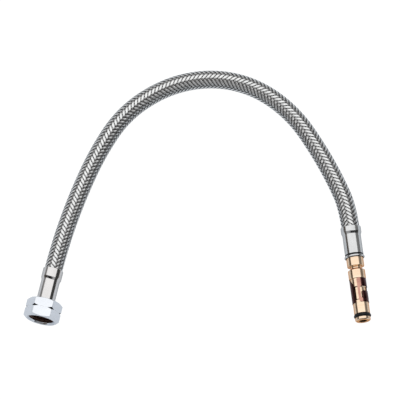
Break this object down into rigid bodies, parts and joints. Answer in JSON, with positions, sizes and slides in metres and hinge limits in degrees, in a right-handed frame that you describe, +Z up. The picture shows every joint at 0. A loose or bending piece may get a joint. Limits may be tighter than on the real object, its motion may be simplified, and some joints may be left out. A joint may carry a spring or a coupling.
{
  "type": "braided supply line",
  "caption": "Flexible braided hose with a hexagon union nut on one end and a push-in plug with a sprung retaining sleeve on the other.",
  "frame": {"origin": "on the surface the line lies on, under the middle of the box round its two end fittings", "axes": "+Z up from the surface; +X from the nut end to the plug end; the hose arches away towards +Y"},
  "size_m": [0.2088, 0.1605, 0.019],
  "materials": {
    "liner_rubber": "matte",
    "braid_steel": "woven fine wire",
    "ferrule_steel": "satin",
    "nut_chrome": "polished",
    "plug_brass": "polished",
    "sleeve_bronze": "satin, copper coloured",
    "ring_plastic": "smooth",
    "seal_rubber": "matte"
  },
  "bodies": {
    "hose": {"hose_liner": "liner_rubber", "hose_braid": "braid_steel", "nut_end_ferrule": "ferrule_steel", "tail_end_ferrule": "ferrule_steel", "nut_nipple": "plug_brass", "sealing_washer": "seal_rubber", "tail_fitting": "plug_brass", "plug_o_ring": "seal_rubber"},
    "slide_ring": {"nut_slide_ring": "ring_plastic"},
    "union_nut": {"union_nut": "nut_chrome"},
    "retaining_sleeve": {"retaining_sleeve": "sleeve_bronze"},
    "latch_tongue_right": {"latch_tongue_right": "sleeve_bronze"},
    "latch_tongue_left": {"latch_tongue_left": "sleeve_bronze"}
  },
  "joints": [
    {"name": "nut_slide", "type": "slide", "parent": "hose", "child": "slide_ring", "axis": [0.2317, 0.9728, 0], "range_m": [0, 0.011]},
    {"name": "nut_spin", "type": "hinge", "parent": "slide_ring", "child": "union_nut", "pos_m": [-0.09272, -0.02358, 0.0095], "axis": [-0.2317, -0.9728, 0], "continuous": true},
    {"name": "sleeve_spin", "type": "hinge", "parent": "hose", "child": "retaining_sleeve", "pos_m": [0.09718, -0.01048, 0.00615], "axis": [0.1253, -0.9921, 0], "continuous": true},
    {"name": "right_tongue_flex", "type": "hinge", "parent": "retaining_sleeve", "child": "latch_tongue_right", "pos_m": [0.10153, -0.01547, 0.00846], "axis": [-0.5257, -0.0664, 0.848], "range_deg": [0, 6], "stiffness_Nm_per_rad": 0.05},
    {"name": "left_tongue_flex", "type": "hinge", "parent": "retaining_sleeve", "child": "latch_tongue_left", "pos_m": [0.09571, -0.01621, 0.00238], "axis": [0.8592, 0.1085, -0.5], "range_deg": [0, 6], "stiffness_Nm_per_rad": 0.05}
  ]
}
